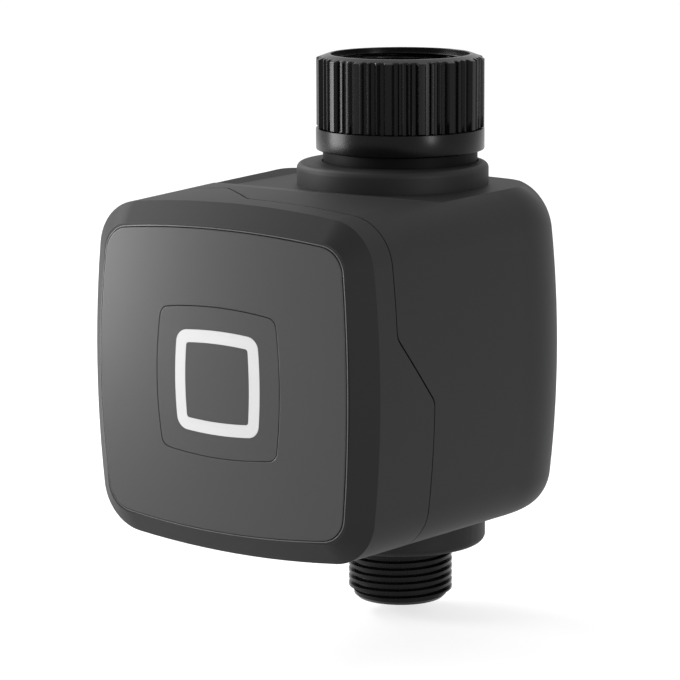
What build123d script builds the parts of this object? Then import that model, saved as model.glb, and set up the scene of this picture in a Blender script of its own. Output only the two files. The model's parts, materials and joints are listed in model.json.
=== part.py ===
from build123d import *
import math
import os

# Tap water timer: a motor-driven ball valve in a square casing that hangs from a swivel nut.
# Millimetres. While it is built, the origin is the centre of the valve ball: x right, y back, z up.
# save() then moves everything down, so that the stored origin is on the water axis where the nut's
# full thread begins, just inside its mouth.

os.makedirs("parts", exist_ok=True)

# Clearances
body_gap = 0.3        # between pieces that move against each other
running_gap = 0.06    # radial, for a shaft in a hole
seat_gap = 0.05       # between pieces that fit into one another
screw_gap = 0.02      # between a screw's thread and its hole

# Casing, outside. Seen from the front it is a square with bowed sides and round corners
front_half = 41.75      # half width and half height at its front edge
rear_half = 44.2        # the same at the back, because the sides flare a little
bottom_drop = 0.6       # the underside lies this much lower than that
side_bow_radius = 263.0
casing_corner = 12.2
front_edge_y = -69.7
rear_y = 26.5
rear_corner = 30.0      # upright rear corners, seen from above
low_rear_round = 8.0
top_rear_round = 12.0
rear_crest_z = 41.1     # the bowed top comes down to this towards the back
crest_fall = 16.5       # over this length
wall = 2.5
flat_z = 39.4           # level top round the collar
flat_half = 31.0        # half width of its level part
flat_rise_half = 45.0   # beyond it, the cut rises outwards to here
flat_rise = 4.0         # by this much
flat_start_y = -27.0
ramp_start_y = -50.0
ramp_start_z = 42.6

# Bevelled rim and the domed front
bevel_half = 36.45      # where the bevel meets the flat lip round the panel
bevel_front_y = -74.45
crown_y = -76.6         # foremost point of the domed panel
dome_radius = 480.0
lip_setback = 0.35      # the rim lies this far behind the panel's dome
panel_round = 0.2       # of the panel's edges
button_round = 0.12     # of the button's edges

# Parting line between front shell and rear housing: shallow in the upper right, deep elsewhere
shallow_seam_y = -62.4
deep_seam_y = -47.8
step_top_z = 12.9       # the step on the right side runs from here
step_bottom_z = -4.2    # down to here
step_right_x = -0.8     # the step on the top runs from here
step_left_x = -17.9     # to here
step_round = 4.0
lip_length = 6.0
lip_wall = 1.5
gasket_thickness = 0.8

# Face panel and button
panel_half = 35.95
panel_bow = 250.0
panel_corner = 6.5
panel_edge_gap = 0.15
panel_thickness = 3.8   # at the crown
button_half = 18.0
button_bow = 105.0
button_corner = 2.6
button_edge_gap = 0.1
button_travel = 0.5
button_skin = 1.8
button_floor = 3.2      # from the crown to the hollow behind the cap
flange_overlap = 2.2
flange_thickness = 1.2
post_radius = 2.5
ring_half = 12.4
ring_bow = 99.0
ring_corner = 3.3
ring_inner_half = 9.37
ring_inner_corner = 0.8
ring_depth = 2.0
ring_leg_radius = 0.95
ring_leg_length = 2.4
web_thickness = 2.0

# Button frame, seal and light guide
seal_thickness = 1.6
seal_width = 3.0
frame_thickness = 1.5
frame_half = 25.5
frame_opening = 14.5
frame_screw_x = 22.8
guide_end_gap = 0.4

# Main board
board_half_x = 31.0
board_half_z = 28.0
board_thickness = 1.6
board_behind_frame = 1.9
board_screw_x = 29.0
board_screw_z = 20.0
boss_radius = 2.8
switch_side = 6.0
switch_height = 3.4
plunger_radius = 1.7
plunger_out = 1.3
plunger_length = 2.6
press_gap = 0.05
led_length = 3.2
led_width = 1.6
led_height = 0.8
peg_radius = 0.9

# Battery tray with four AA cells lying across
cell_radius = 7.1
cell_length = 49.0
nub_radius = 2.7
nub_length = 1.3
cell_count = 4
cell_pitch = 15.6
tray_behind_board = 4.4
tray_wall = 1.5
tray_depth = 14.5
contact_thickness = 0.5
contact_space = 0.65
tray_ear = 31.4
tray_ear_radius = 3.0
tower_x = 33.5
tower_width = 5.0
pin_count = 4
pin_pitch = 6.0
pin_radius = 1.0
pad_radius = 2.0
pad_proud = 0.4

# Screws: shank and head radii, and head height
screw_shank = 1.2
screw_head = 2.2
screw_head_height = 1.4

# Inner cover in front of the gearbox
cover_back_y = -35.0
cover_thickness = 2.5
cover_half = 36.9
cover_screw_x = 33.5
cover_screw_z = 32.0
cover_screw_length = 9.0
block_length = 13.0
block_x = 29.8          # the corner blocks lie outside this
block_z = 28.3          # and this
block_side = 60.0

# Water path, heights from the ball's centre
mouth_z = 71.5
nut_height = 23.8
nut_radius = 21.14
rim_radius = 18.1
rim_chamfer = 1.1
rib_root_radius = 19.9
low_rib_radius = 20.6
rib_count = 16
band_height = 5.4
inlet_crest = 15.146    # G 1 female thread
inlet_depth = 1.479
inlet_pitch = 2.309
inlet_crest_flat = 1.1  # width of the thread's flat crest, along the axis
inlet_thread_length = 10.3
mouth_lead = 1.2        # depth of the plain counterbore in front of the thread
mouth_radius = 17.4
nut_lip_height = 6.8
tail_flange_radius = 14.9
tail_flange_height = 2.2
tail_tube_radius = 12.44
washer_thickness = 2.5
washer_inner = 9.5
neck_radius = 19.4
collar_recess = 1.5
nut_to_collar = 2.9
collar_radius = 24.0
collar_forward = 3.36
collar_round = 1.5
outlet_collar_radius = 21.7
outlet_collar_z = -52.66
outlet_collar_round = 1.8
tail_radius = 15.0
spigot_radius = 14.0
spigot_top_z = 30.0
spigot_step_z = 16.0
bore_radius = 8.5
ball_radius = 11.5
ball_bore = 8.0
cavity_radius = 12.3
inlet_ring_major = 11.3
inlet_ring_minor = 0.9
seat_inner = 8.3
seat_height = 4.6
seat_base_z = 12.6
body_radius = 15.8
pipe_radius = 14.9
pipe_top_z = -16.0
pipe_end_z = -52.0
shoulder_radius = 17.6
shoulder_height = 3.0
seal_ring_height = 1.0
seal_floor_z = -39.7
seal_floor_radius = 19.0
outlet_bore = 9.5
outlet_crest = 13.22    # G 3/4 male thread
outlet_depth = 1.16
outlet_pitch = 1.814
outlet_crest_flat = 0.78
outlet_thread_top_z = -53.4
outlet_thread_length = 12.0
pilot_radius = 11.85
outlet_end_z = -67.5
pilot_chamfer = 0.8

# Stem, along y
stem_radius = 4.0
stem_drive_radius = 3.5
stem_drive_flat = 2.6
stem_front_y = -29.8
stem_step_y = -21.0
tang_width = 3.0
tang_length = 10.0
tang_depth = 2.7
tang_root_y = -11.65
pad_front_y = -19.0
pad_half_x = 18.0
pad_half_z = 13.0
pad_thickness = 3.5
pad_screw_x = 15.0
pad_screw_z = 10.0
bush_radius = 5.35
bush_length = 1.9
stem_ring_major = 3.53
stem_ring_minor = 0.45
stem_ring_y = (-14.0, -15.8)

# Gear train: module, teeth and layers along y
drive_module = 0.8
fast_module = 0.6
output_teeth = 40
wheel_teeth = 36
pinion_teeth = 12
pressure_angle = math.radians(25)
backlash = 0.12
second_gear_angle = -20.0    # seen from the front, from the stem to the second gear
first_gear_angle = -115.0    # from the second gear to the first
motor_angle = -5.0           # from the first gear to the motor
layer_gap = 0.4
output_thickness = 3.6
second_thickness = 2.6
first_thickness = 2.2
gear_axle_radius = 1.0
gear_boss_radius = 2.2
base_thickness = 1.6
base_to_gear = 0.6
gearbox_wall = 1.2
gear_room = 0.45
cover_floor = 1.2
ear_radius = 3.4
column_radius = 2.6
cam_radius = 6.5
cam_thickness = 2.4
cam_notch = 3.0
cam_notch_angle = 180.0   # at rest it lies at the left switch

# Motor
motor_radius = 10.05
motor_half_width = 7.55
motor_length = 25.0
motor_boss_radius = 3.0
motor_boss_length = 1.2
motor_cap_length = 2.0
motor_screw_offset = (4.2, 5.0)

# Worked out from the sizes above
panel_back_y = crown_y + panel_thickness
web_back_y = panel_back_y + web_thickness
flange_front_y = web_back_y + body_gap
flange_back_y = flange_front_y + flange_thickness
seal_front_y = flange_back_y + button_travel + body_gap
seal_back_y = seal_front_y + seal_thickness
frame_back_y = seal_back_y + frame_thickness
board_front_y = frame_back_y + board_behind_frame
board_back_y = board_front_y + board_thickness
tray_front_y = board_back_y + tray_behind_board
tray_floor_y = tray_front_y + tray_wall
tray_back_y = tray_floor_y + tray_depth
cell_y = tray_floor_y + body_gap + cell_radius
cell_total = cell_length + nub_length
tray_inner_x = cell_total / 2 + contact_space + contact_thickness
tray_inner_z = (cell_count - 1) * cell_pitch / 2 + cell_radius + body_gap
cover_front_y = cover_back_y - cover_thickness

collar_top_z = mouth_z - nut_height - nut_to_collar
nut_bottom_z = mouth_z - nut_height
neck_floor_z = collar_top_z - collar_recess
neck_top_z = nut_bottom_z - body_gap
lip_top_z = nut_bottom_z + nut_lip_height
tail_flange_z = lip_top_z + body_gap
tail_top_z = tail_flange_z + tail_flange_height
washer_top_z = tail_top_z + washer_thickness
inlet_thread_top_z = mouth_z - mouth_lead
inlet_thread_low_z = inlet_thread_top_z - inlet_thread_length

side_from_y = rear_y - rear_corner
base_front_y = pad_front_y - base_thickness
output_back_y = base_front_y - base_to_gear
output_front_y = output_back_y - output_thickness
second_back_y = output_front_y - layer_gap
second_front_y = second_back_y - second_thickness
first_back_y = second_front_y - layer_gap
first_front_y = first_back_y - first_thickness
gear_cover_inner_y = first_front_y - 2 * layer_gap
gear_cover_front_y = gear_cover_inner_y - cover_floor
drive_distance = drive_module * (output_teeth + pinion_teeth) / 2
fast_distance = fast_module * (wheel_teeth + pinion_teeth) / 2


def polar(origin, distance, degrees):
    angle = math.radians(degrees)
    return (origin[0] + distance * math.cos(angle), origin[1] + distance * math.sin(angle))


stem_at = (0.0, 0.0)
second_at = polar(stem_at, drive_distance, second_gear_angle)
first_at = polar(second_at, fast_distance, first_gear_angle)
motor_at = polar(first_at, fast_distance, motor_angle)
ears_at = ((-16.0, 16.0), (16.0, 17.0), (-12.0, -20.0), (29.5, 3.5))


# Plain helpers

def facing(y):
    """The plane seen from the front at depth y: local x is right, local y is up."""
    return Plane((0, y, 0), x_dir=(1, 0, 0), z_dir=(0, -1, 0))


def between(sketch, front_y, back_y):
    """Carry a sketch that is drawn as seen from the front from back_y forward to front_y."""
    return extrude(facing(back_y) * sketch, amount=back_y - front_y)


def disc(radius, at, front_y, back_y):
    return between(Pos(at[0], at[1]) * Circle(radius), front_y, back_y)


def block(width, height, at, front_y, back_y):
    return between(Pos(at[0], at[1]) * Rectangle(width, height), front_y, back_y)


def upright(radius, low_z, high_z, at=(0, 0)):
    """A cylinder along z."""
    return Pos(at[0], at[1], (low_z + high_z) / 2) * Cylinder(radius, high_z - low_z)


def corners(x, z):
    return [(sx * x, sz * z) for sx in (-1, 1) for sz in (-1, 1)]


def bowed_rectangle(half_x, half_z, bow, corner):
    """A rectangle whose four sides are arcs of radius bow, joined by tangent corner arcs."""
    side_centre, top_centre = half_x - bow, half_z - bow
    reach = bow - corner
    # The corner arc's centre is at distance reach from both side arcs' centres
    slope = side_centre / top_centre
    start = (top_centre ** 2 - side_centre ** 2) / (2 * top_centre)
    square = 1 + slope ** 2
    linear = slope * start - side_centre
    constant = side_centre ** 2 + start ** 2 - reach ** 2
    centre_x = (-linear + math.sqrt(linear ** 2 - square * constant)) / square
    centre_z = slope * centre_x + start
    scale = bow / reach
    side = (side_centre + (centre_x - side_centre) * scale, centre_z * scale)
    top = (centre_x * scale, top_centre + (centre_z - top_centre) * scale)
    out = (side[0] + top[0] - 2 * centre_x, side[1] + top[1] - 2 * centre_z)
    middle = corner / math.hypot(*out)
    bend = (centre_x + middle * out[0], centre_z + middle * out[1])
    edges = []
    for sx, sz in ((1, 1), (-1, -1)):
        near_top, far_top = (-sx * top[0], sz * top[1]), (sx * top[0], sz * top[1])
        high_side, low_side = (sx * side[0], sz * side[1]), (sx * side[0], -sz * side[1])
        edges += [ThreePointArc(near_top, (0, sz * half_z), far_top),
                  ThreePointArc(far_top, (sx * bend[0], sz * bend[1]), high_side),
                  ThreePointArc(high_side, (sx * half_x, 0), low_side),
                  ThreePointArc(low_side, (sx * bend[0], -sz * bend[1]), (sx * top[0], -sz * top[1]))]
    return make_face(edges)


def bowed_square(half, bow, corner):
    return bowed_rectangle(half, half, bow, corner)


def bowed_slab(half, bow, corner, front_y, back_y):
    return between(bowed_square(half, bow, corner), front_y, back_y)


def screw(at, seat_y, length, head=screw_head, shank=screw_shank, height=screw_head_height, back=False):
    """A pan-head screw. Its head stands in front of seat_y, or behind it if back is true."""
    if back:
        body = disc(head, at, seat_y, seat_y + height) + disc(shank, at, seat_y - length, seat_y)
        slot_y = seat_y + height
        return body - block(head * 1.3, 0.5, at, slot_y - 0.5, slot_y + 0.1)
    body = disc(head, at, seat_y - height, seat_y) + disc(shank, at, seat_y, seat_y + length)
    slot_y = seat_y - height
    return body - block(head * 1.3, 0.5, at, slot_y - 0.1, slot_y + 0.5)


def screw_hole(at, front_y, back_y):
    return disc(screw_shank + screw_gap, at, front_y, back_y)


def save(name, shape):
    """Write one node, moved so that the origin is where the nut's full thread begins."""
    solids = Pos(0, 0, -inlet_thread_top_z) * shape
    export_step(solids, "parts/" + name + ".step")


# Casing

def half_at(y):
    """Half width of the flared casing at depth y."""
    return front_half + (rear_half - front_half) * (y - front_edge_y) / (rear_y - front_edge_y)


def arc_reach(radius, along):
    return math.sqrt(max(0.0, radius ** 2 - along ** 2))


def crest_at(y):
    """Height of the bowed top at depth y. It comes down gently between the collar and the back."""
    share = min(1.0, max(0.0, (y - side_from_y) / crest_fall))
    eased = share * share * (3 - 2 * share)
    return half_at(y) + (rear_crest_z - half_at(y)) * eased


def closing(y, half, from_y, radius, inset):
    """A half measure of the casing that closes along an arc of the given radius beyond from_y."""
    if y <= from_y:
        return half(y) - inset
    return half(from_y) - radius + arc_reach(radius - inset, y - from_y)


def underside_at(y):
    return half_at(y) + bottom_drop


def tall_outline(half_x, top, bottom, bow, corner):
    """A bowed rectangle that reaches top above the axis and bottom below it."""
    return Pos(0, (top - bottom) / 2) * bowed_rectangle(half_x, (top + bottom) / 2, bow, corner)


def casing_section(y, inset):
    """The casing's outline at depth y, moved in by inset. It closes towards the rounded back."""
    half_x = closing(y, half_at, side_from_y, rear_corner, inset)
    top = closing(y, crest_at, rear_y - top_rear_round, top_rear_round, inset)
    bottom = closing(y, underside_at, rear_y - low_rear_round, low_rear_round, inset)
    return facing(y) * tall_outline(half_x, top, bottom, side_bow_radius - inset, casing_corner - inset)


def top_cut(inset):
    """What is cut off the bowed top: level round the collar, rising to the front and to both sides."""
    high = ramp_start_z + 20
    along = [(ramp_start_y - 30, high), (ramp_start_y, ramp_start_z - inset), (flat_start_y, flat_z - inset),
             (rear_y + 5, flat_z - inset), (rear_y + 5, high)]
    side_z = flat_z + flat_rise - inset
    across = [(flat_half, flat_z - inset), (flat_rise_half, side_z), (flat_rise_half, high)]
    across += [(-x, z) for x, z in reversed(across)]
    profile = extrude(Plane.YZ * make_face(Polyline(along, close=True)), amount=60, both=True)
    return profile & between(make_face(Polyline(across, close=True)), ramp_start_y - 30, rear_y + 5)


def casing_form(inset, start_y):
    """The casing's form from start_y to the back, with every face moved in by inset."""
    turn = 9
    depths = [side_from_y - turn, side_from_y - turn / 2]
    depths += [side_from_y + (rear_corner - inset) * math.sin(math.radians(d)) for d in range(0, 91, turn)]
    sections = [casing_section(y, inset) for y in depths]
    form = loft([casing_section(start_y, inset), sections[0]], ruled=True) + loft(sections)
    return form - top_cut(inset)


def rear_region(grow):
    """Space behind the parting line: all behind the deep seam, and the stepped part in the upper right."""
    far = 90.0
    front, seam, deep = shallow_seam_y - grow, deep_seam_y - grow, deep_seam_y + step_round
    behind = Pos(0, seam + far / 2, 0) * Box(2 * far, far, 2 * far)
    low = -3 * step_round
    side = [(front, far), (front, step_top_z - grow), (seam, step_bottom_z - grow), (seam, low), (deep, low),
            (deep, far)]
    side_face = make_face(Polyline(side, close=True))
    side_face = fillet([v for v in side_face.vertices() if low < v.Y < far and v.X < deep], step_round)
    side_form = extrude(Plane.YZ * side_face, amount=far - 1, both=True)
    # The outer limits of the second form lie a little further out, so that no two faces coincide
    right, left, ahead = step_right_x - grow, step_left_x - grow, front - 0.02
    top = [(far, ahead), (right, ahead), (left, seam), (left + 3 * low, seam), (left + 3 * low, deep + 2),
           (far, deep + 2)]
    top_face = make_face(Polyline(top, close=True))
    top_face = fillet([v for v in top_face.vertices() if left + low < v.X < far and v.Y < deep], step_round)
    top_form = extrude(Plane.XY * top_face, amount=far, both=True)
    return behind + (side_form & top_form)


def dome(setback=0.0):
    return Pos(0, crown_y + dome_radius + setback, 0) * Sphere(dome_radius)


def bevelled_rim():
    """The rim in front of the casing's front edge, narrowing to the lip round the panel."""
    outer = facing(front_edge_y) * tall_outline(front_half, front_half, underside_at(front_edge_y),
                                                side_bow_radius, casing_corner)
    inner_corner = panel_corner + bevel_half - panel_half
    inner = facing(bevel_front_y) * bowed_square(bevel_half, panel_bow, inner_corner)
    return loft([outer, inner], ruled=True)


def front_shell():
    outer = casing_form(0, front_edge_y) - rear_region(body_gap)
    rim = bevelled_rim() & dome(lip_setback)
    shell = outer + rim
    shell -= casing_form(wall, web_back_y)
    shell -= bowed_slab(panel_half + panel_edge_gap, panel_bow, panel_corner + panel_edge_gap,
                        crown_y - 1, panel_back_y)
    shell -= bowed_slab(button_half + body_gap, button_bow, button_corner, panel_back_y - 1, web_back_y + 1)
    for at in corners(frame_screw_x, frame_screw_x):
        shell += disc(boss_radius, at, web_back_y, seal_back_y)
        shell -= screw_hole(at, web_back_y + 0.5, seal_back_y + 1)
    for at in corners(board_screw_x, board_screw_z):
        shell += disc(boss_radius, at, web_back_y, board_front_y)
        shell -= screw_hole(at, web_back_y + 0.5, board_front_y + 1)
    for at in corners(tray_ear, tray_ear):
        shell += disc(tray_ear_radius, at, web_back_y, tray_front_y)
        shell -= screw_hole(at, tray_front_y - 6, tray_front_y + 1)
    return shell


def front_edges(shape):
    """The edges of the domed front face."""
    return shape.faces().sort_by(Axis.Y)[0].edges()


def face_panel():
    panel = bowed_slab(panel_half, panel_bow, panel_corner, crown_y - 1, panel_back_y) & dome()
    panel -= bowed_slab(button_half, button_bow, button_corner, crown_y - 2, panel_back_y + 1)
    return fillet(front_edges(panel), panel_round)


def ring_slab(grow, front_y, back_y):
    outer = bowed_slab(ring_half + grow, ring_bow, ring_corner, front_y, back_y)
    return outer - bowed_slab(ring_inner_half - grow, ring_bow, ring_inner_corner, front_y - 1, back_y + 1)


def ring_legs(radius, back_y):
    middle = (ring_half + ring_inner_half) / 2
    spots = [(middle, 0), (-middle, 0), (0, middle), (0, -middle)]
    return [disc(radius, at, crown_y + ring_depth - 0.5, back_y) for at in spots]


def button_cap():
    cap_half = button_half - button_edge_gap
    hollow_y = crown_y + button_floor
    cap = bowed_slab(cap_half, button_bow, button_corner, crown_y - 1, flange_front_y) & dome()
    cap = fillet(front_edges(cap), button_round)
    cap += bowed_slab(button_half + flange_overlap, button_bow, button_corner, flange_front_y, flange_back_y)
    cap -= bowed_slab(cap_half - button_skin, button_bow, 1.2, hollow_y, flange_back_y + 1)
    cap += disc(post_radius, stem_at, hollow_y, board_front_y - switch_height - plunger_out - press_gap)
    cap -= ring_slab(seat_gap, crown_y - 1, crown_y + ring_depth)
    for hole in ring_legs(ring_leg_radius + seat_gap, hollow_y + 0.5):
        cap -= hole
    return cap


def light_ring():
    ring = ring_slab(0, crown_y - 1, crown_y + ring_depth) & dome()
    for leg in ring_legs(ring_leg_radius, crown_y + ring_depth + ring_leg_length):
        ring += leg
    return ring


def button_seal():
    outer = button_half + flange_overlap
    seal = bowed_slab(outer, button_bow, button_corner, seal_front_y, seal_back_y)
    return seal - bowed_slab(outer - seal_width, button_bow, button_corner, seal_front_y - 1, seal_back_y + 1)


def button_frame():
    frame = bowed_slab(frame_half, panel_bow, 4.0, seal_back_y, frame_back_y)
    frame -= bowed_slab(frame_opening, button_bow, 2.0, seal_back_y - 1, frame_back_y + 1)
    for at in corners(frame_screw_x, frame_screw_x):
        frame -= disc(screw_shank + 0.2, at, seal_back_y - 1, frame_back_y + 1)
    return frame


def light_guide():
    front_y = crown_y + ring_depth + ring_leg_length + button_travel + body_gap
    back_y = board_front_y - led_height - guide_end_gap
    guide = ring_slab(0, front_y, back_y)
    middle = (ring_half + ring_inner_half) / 2
    for at in corners(middle, middle):
        guide += disc(peg_radius, at, back_y - 0.5, board_back_y)
    return guide


def main_board():
    board = between(RectangleRounded(2 * board_half_x, 2 * board_half_z, 2.0), board_front_y, board_back_y)
    middle = (ring_half + ring_inner_half) / 2
    for at in corners(board_screw_x, board_screw_z):
        board -= disc(screw_shank + 0.2, at, board_front_y - 1, board_back_y + 1)
    for at in corners(middle, middle):
        board -= disc(peg_radius + seat_gap, at, board_front_y - 1, board_back_y + 1)
    return board


def tact_switch():
    top_y = board_front_y - switch_height
    body = block(switch_side, switch_side, stem_at, top_y, board_front_y)
    return body - disc(plunger_radius + running_gap, stem_at, top_y - 1,
                       top_y + plunger_length - plunger_out + button_travel + body_gap)


def tact_plunger():
    tip_y = board_front_y - switch_height - plunger_out
    return disc(plunger_radius, stem_at, tip_y, tip_y + plunger_length)


def status_leds():
    middle = (ring_half + ring_inner_half) / 2
    spots = [(middle, 0, False), (-middle, 0, False), (0, middle, True), (0, -middle, True)]
    leds = []
    for x, z, flat in spots:
        width, height = (led_length, led_width) if flat else (led_width, led_length)
        leds.append(block(width, height, (x, z), board_front_y - led_height, board_front_y))
    return Compound(children=leds)


def radio_module():
    base = block(18, 24, (-17, 8), board_back_y, board_back_y + 0.8)
    return base + block(15, 16, (-17, 6), board_back_y + 0.8, board_back_y + 2.6)


def processor_chip():
    return block(9, 9, (8, 12), board_back_y, board_back_y + 1.0)


def board_connector():
    shell = block(14, 5, (10, -20), board_back_y, board_back_y + 3.4)
    return shell - block(12, 3, (10, -20), board_back_y + 1.2, board_back_y + 4)


def battery_tray():
    tray = block(2 * tray_inner_x + 2 * tray_wall, 2 * tray_inner_z + 2 * tray_wall, stem_at,
                 tray_front_y, tray_back_y)
    tray -= block(2 * tray_inner_x, 2 * tray_inner_z, stem_at, tray_floor_y, tray_back_y + 1)
    arm = 2 * tray_ear
    tray += block(arm, 2 * tray_ear_radius, (0, tray_ear), tray_front_y, tray_floor_y)
    tray += block(arm, 2 * tray_ear_radius, (0, -tray_ear), tray_front_y, tray_floor_y)
    for at in corners(tray_ear, tray_ear):
        tray += disc(tray_ear_radius, at, tray_front_y, tray_floor_y)
        tray -= disc(screw_shank + 0.2, at, tray_front_y - 1, tray_floor_y + 1)
    tower_height = pin_count * pin_pitch
    inner_x = tray_inner_x + tray_wall / 2
    width = tower_x + tower_width / 2 - inner_x
    tray += block(width, tower_height, (inner_x + width / 2, 0), tray_front_y, tray_back_y)
    for z in pin_heights():
        tray -= disc(pin_radius + seat_gap, (tower_x, z), tray_back_y - 5, tray_back_y + 1)
    return tray


def pin_heights():
    return [(i - (pin_count - 1) / 2) * pin_pitch for i in range(pin_count)]


def spring_pins():
    tip_y = cover_front_y - pad_proud - body_gap
    pins = []
    for z in pin_heights():
        at = (tower_x, z)
        pins.append(disc(pin_radius, at, tray_back_y - 5, tray_back_y + 1.5)
                    + disc(pin_radius * 0.6, at, tray_back_y, tip_y))
    return Compound(children=pins)


def contact_pads():
    return Compound(children=[disc(pad_radius, (tower_x, z), cover_front_y - pad_proud, cover_back_y + 0.3)
                              for z in pin_heights()])


def battery_cells():
    cells = []
    for i in range(cell_count):
        z = (i - (cell_count - 1) / 2) * cell_pitch
        turn = 1 if i % 2 == 0 else -1
        body = Cylinder(cell_radius, cell_length)
        body = fillet(body.edges().filter_by(GeomType.CIRCLE), 0.6)
        nub = Pos(0, 0, cell_length / 2 + nub_length / 2) * Cylinder(nub_radius, nub_length)
        cell = Pos(0, 0, -nub_length / 2) * (body + nub)
        cells.append(Pos(0, cell_y, z) * Rot(0, 90 * turn, 0) * cell)
    return Compound(children=cells)


def battery_contacts():
    plates = []
    for i in range(cell_count):
        z = (i - (cell_count - 1) / 2) * cell_pitch
        for side in (-1, 1):
            x = side * (tray_inner_x - contact_thickness / 2)
            plate = Pos(x, cell_y, z) * Box(contact_thickness, 10, 11)
            bump_x = side * (tray_inner_x - contact_thickness - contact_space / 4)
            bump = Pos(bump_x, cell_y, z) * Rot(0, 90, 0) * Cylinder(2.2, contact_space / 2)
            plates.append(plate + bump)
    return Compound(children=plates)


# Rear housing

def rear_housing():
    shell = casing_form(0, front_edge_y) & rear_region(0)
    collar = upright(collar_radius, flat_z - wall, collar_top_z, (0, -collar_forward))
    collar = fillet(collar.edges().filter_by(GeomType.CIRCLE).sort_by(Axis.Z)[-1], collar_round)
    outlet = upright(outlet_collar_radius, outlet_collar_z, -half_at(0) + wall)
    outlet = fillet(outlet.edges().filter_by(GeomType.CIRCLE).sort_by(Axis.Z)[0], outlet_collar_round)
    shell = shell - casing_form(wall, front_edge_y) + collar + outlet
    slab = Pos(0, deep_seam_y, 0) * Box(200, 2 * lip_length, 200)
    root = Pos(0, deep_seam_y + lip_length * 0.6, 0) * Box(200, 0.8 * lip_length, 200)
    inner = casing_form(wall + body_gap + lip_wall, front_edge_y)
    lip = (casing_form(wall + body_gap, front_edge_y) & slab) - inner
    lip += (casing_form(wall - 0.2, front_edge_y) & root) - inner
    shell += lip
    form = casing_form(wall / 2, front_edge_y)
    for at in corners(block_x + block_side / 2, block_z + block_side / 2):
        shell += block(block_side, block_side, at, cover_back_y, cover_back_y + block_length) & form
    for at in corners(cover_screw_x, cover_screw_z):
        shell -= screw_hole(at, cover_back_y - 1, cover_back_y + 8)
    shell += upright(seal_floor_radius, -half_at(0) + wall / 2, seal_floor_z)
    shell -= upright(tail_radius + body_gap, 0, collar_top_z + 1)
    shell -= upright(neck_radius + body_gap, neck_floor_z, collar_top_z + 1)
    shell -= upright(pipe_radius + body_gap, outlet_collar_z - 1, 0)
    return shell


def module_gasket():
    front_y = deep_seam_y - lip_length - gasket_thickness
    slab = Pos(0, front_y + gasket_thickness / 2, 0) * Box(200, gasket_thickness, 200)
    ring = casing_form(wall + 2 * body_gap, front_edge_y) & slab
    return ring - casing_form(wall + body_gap + lip_wall, front_edge_y)


def inner_cover():
    cover = bowed_slab(cover_half, side_bow_radius, 8.0, cover_front_y, cover_back_y)
    for at in corners(cover_screw_x, cover_screw_z):
        cover -= disc(screw_shank + 0.2, at, cover_front_y - 1, cover_back_y + 1)
    for z in pin_heights():
        cover -= disc(pad_radius + seat_gap, (tower_x, z), cover_front_y - 1, cover_back_y + 1)
    return cover


# Threads

def thread_groove(radius, depth, pitch, crest_flat, low_z, high_z, outward):
    """A helical groove, wide at the crest side and narrow at its root."""
    side = 1 if outward else -1
    over = 0.35
    half_root = 0.16
    half_open = (pitch - crest_flat) / 2
    half_wide = half_open + over * (half_open - half_root) / depth
    profile_points = [(side * over, -half_wide), (side * over, half_wide),
                      (-side * depth, half_root), (-side * depth, -half_root)]
    path = Helix(pitch=pitch, height=high_z - low_z, radius=radius)
    start = Plane(origin=(radius, 0, 0), x_dir=(1, 0, 0), z_dir=(0, -1, 0))
    profile = start * make_face(Polyline(profile_points, close=True))
    return Pos(0, 0, low_z) * sweep(profile, path=path, is_frenet=True)


# Water path

def rib_outline():
    """The nut's ribbed outline: in each sector one proud rib with sloped flanks and two low ribs."""
    sector = 360.0 / rib_count
    ribs = [(0.0, 7.6, 1.0, nut_radius), (9.9, 13.6, 0.6, low_rib_radius), (16.0, 19.7, 0.6, low_rib_radius)]
    steps = []
    for start, end, flank, radius in ribs:
        steps += [(start, rib_root_radius), (start + flank, radius), (end - flank, radius),
                  (end, rib_root_radius)]
    spread = sector / 22.5
    points = []
    for i in range(rib_count):
        for degrees, radius in steps:
            points.append(polar((0, 0), radius, i * sector + degrees * spread))
    return make_face(Polyline(points, close=True))


def swivel_nut():
    top_of_band = nut_bottom_z + band_height
    nut = extrude(Plane.XY.offset(top_of_band) * rib_outline(), amount=mouth_z - top_of_band)
    nut += upright(nut_radius, nut_bottom_z, top_of_band)
    slope = (nut_radius - rim_radius) / rim_chamfer
    cone_height = 10.0
    cone = Cone(rim_radius + slope * cone_height, rim_radius, cone_height)
    low_part = upright(nut_radius + 5, nut_bottom_z - 1, mouth_z - cone_height)
    nut &= low_part + Pos(0, 0, mouth_z - cone_height / 2) * cone
    nut -= upright(inlet_crest, inlet_thread_low_z - 0.01, mouth_z + 1)
    nut -= upright(tail_flange_radius + 2 * body_gap, lip_top_z, inlet_thread_low_z)
    nut -= upright(tail_tube_radius + running_gap, nut_bottom_z - 1, lip_top_z + 0.01)
    nut -= upright(mouth_radius, inlet_thread_top_z, mouth_z + 1)
    nut -= thread_groove(inlet_crest, inlet_depth, inlet_pitch, inlet_crest_flat, inlet_thread_low_z + 1,
                         mouth_z - 0.4, False)
    return nut


def inlet_tailpiece():
    tail = upright(tail_flange_radius, tail_flange_z, tail_top_z)
    tail += upright(tail_tube_radius, neck_top_z - 1, tail_flange_z)
    tail += upright(neck_radius, neck_floor_z, neck_top_z)
    tail += upright(tail_radius, spigot_top_z, neck_floor_z)
    tail += upright(spigot_radius, spigot_step_z, spigot_top_z)
    tail += upright(cavity_radius - seat_gap, seat_base_z, spigot_step_z)
    tail -= upright(bore_radius, seat_base_z - 1, tail_top_z + 1)
    ring_z = (seat_base_z + spigot_step_z) / 2
    groove = upright(cavity_radius + 1, ring_z - inlet_ring_minor - 0.1, ring_z + inlet_ring_minor + 0.1)
    return tail - (groove - upright(inlet_ring_major - inlet_ring_minor - seat_gap, 0, spigot_top_z))


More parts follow.
